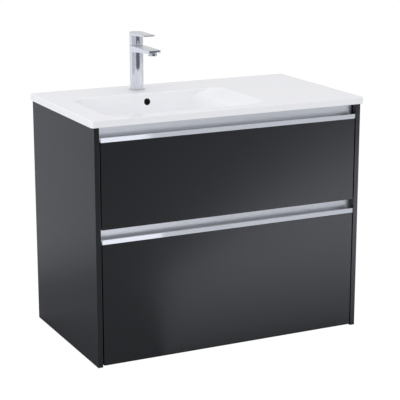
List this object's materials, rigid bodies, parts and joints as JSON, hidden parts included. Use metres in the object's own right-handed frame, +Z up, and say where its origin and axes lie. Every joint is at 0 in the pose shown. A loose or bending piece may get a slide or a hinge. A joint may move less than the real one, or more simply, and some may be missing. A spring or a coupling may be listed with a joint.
{
  "type": "bathroom vanity cabinet",
  "caption": "Wall-hung vanity: dark carcass with stacked full-width drawers, recessed metal grip profiles, one-piece ceramic basin top with side shelf, single-lever tap and trap.",
  "frame": {"origin": "middle of the footprint at the foot of the side panels", "axes": "+X to the right of somebody facing the drawers, +Y into the wall, +Z up"},
  "size_m": [0.8, 0.46, 0.8173],
  "materials": {
    "anthracite_lacquer": "gloss lacquer",
    "grey_melamine": "melamine",
    "white_ceramic": "glazed",
    "anodised_aluminium": "satin anodised",
    "chrome_plate": "polished",
    "zinc_steel": "zinc plated",
    "white_plastic": "moulded",
    "black_rubber": "moulded"
  },
  "bodies": {
    "cabinet": {"basin": "white_ceramic", "side_panel_left": "anthracite_lacquer", "hanger_housing_left": "white_plastic", "hanger_hook_left": "zinc_steel", "side_panel_right": "anthracite_lacquer", "hanger_housing_right": "white_plastic", "hanger_hook_right": "zinc_steel", "bottom_panel": "anthracite_lacquer", "rear_rail_upper": "grey_melamine", "rear_rail_lower": "grey_melamine", "front_tie_bar": "zinc_steel", "tap_body": "chrome_plate", "tap_base_ring": "chrome_plate", "waste_body": "chrome_plate", "tap_aerator": "white_plastic", "trap_body": "white_plastic", "trap_neck_nut": "white_plastic", "trap_cup": "white_plastic", "trap_outlet": "white_plastic", "tap_washer": "black_rubber", "tap_nut": "zinc_steel", "waste_nut": "zinc_steel", "lower_drawer_rail_cabinet_left": "zinc_steel", "lower_drawer_rail_cabinet_right": "zinc_steel", "upper_drawer_rail_cabinet_left": "zinc_steel", "upper_drawer_rail_cabinet_right": "zinc_steel"},
    "lower_drawer": {"lower_drawer_front": "anthracite_lacquer", "lower_drawer_handle": "anodised_aluminium", "lower_drawer_floor": "grey_melamine", "lower_drawer_side_left": "grey_melamine", "lower_drawer_rail_drawer_left": "zinc_steel", "lower_drawer_side_right": "grey_melamine", "lower_drawer_rail_drawer_right": "zinc_steel", "lower_drawer_back": "grey_melamine"},
    "upper_drawer": {"upper_drawer_front": "anthracite_lacquer", "upper_drawer_handle": "anodised_aluminium", "upper_drawer_floor": "grey_melamine", "upper_drawer_side_left": "grey_melamine", "upper_drawer_rail_drawer_left": "zinc_steel", "upper_drawer_side_right": "grey_melamine", "upper_drawer_rail_drawer_right": "zinc_steel", "upper_drawer_back_left": "grey_melamine", "upper_drawer_back_right": "grey_melamine", "upper_drawer_notch_left": "grey_melamine", "upper_drawer_notch_right": "grey_melamine", "upper_drawer_notch_front": "grey_melamine"},
    "lower_runner_middles": {"lower_drawer_rail_middle_left": "zinc_steel", "lower_drawer_rail_middle_right": "zinc_steel"},
    "upper_runner_middles": {"upper_drawer_rail_middle_left": "zinc_steel", "upper_drawer_rail_middle_right": "zinc_steel"},
    "tap_cartridge_stem": {"tap_cartridge": "white_plastic"},
    "tap_handle": {"tap_lever": "chrome_plate"},
    "waste_plug": {"waste_plug": "chrome_plate"}
  },
  "joints": [
    {"name": "lower_drawer_slide", "type": "slide", "parent": "cabinet", "child": "lower_drawer", "axis": [0, -1, 0], "range_m": [0, 0.38]},
    {"name": "lower_runner_slide", "type": "slide", "parent": "cabinet", "child": "lower_runner_middles", "axis": [0, -1, 0], "range_m": [0, 0.19]},
    {"name": "upper_drawer_slide", "type": "slide", "parent": "cabinet", "child": "upper_drawer", "axis": [0, -1, 0], "range_m": [0, 0.38]},
    {"name": "upper_runner_slide", "type": "slide", "parent": "cabinet", "child": "upper_runner_middles", "axis": [0, -1, 0], "range_m": [0, 0.19]},
    {"name": "tap_swivel", "type": "hinge", "parent": "cabinet", "child": "tap_cartridge_stem", "pos_m": [-0.106, 0.1605, 0.7813], "axis": [0, 0, 1], "range_deg": [-45, 45]},
    {"name": "tap_lift", "type": "hinge", "parent": "tap_cartridge_stem", "child": "tap_handle", "pos_m": [-0.106, 0.1775, 0.7813], "axis": [-1, 0, 0], "range_deg": [0, 22]},
    {"name": "plug_slide", "type": "slide", "parent": "cabinet", "child": "waste_plug", "axis": [0, 0, 1], "range_m": [0, 0.008]}
  ],
  "couplings": [
    {"joint": "lower_runner_slide", "follows": "lower_drawer_slide", "ratio": 0.5},
    {"joint": "upper_runner_slide", "follows": "upper_drawer_slide", "ratio": 0.5}
  ]
}
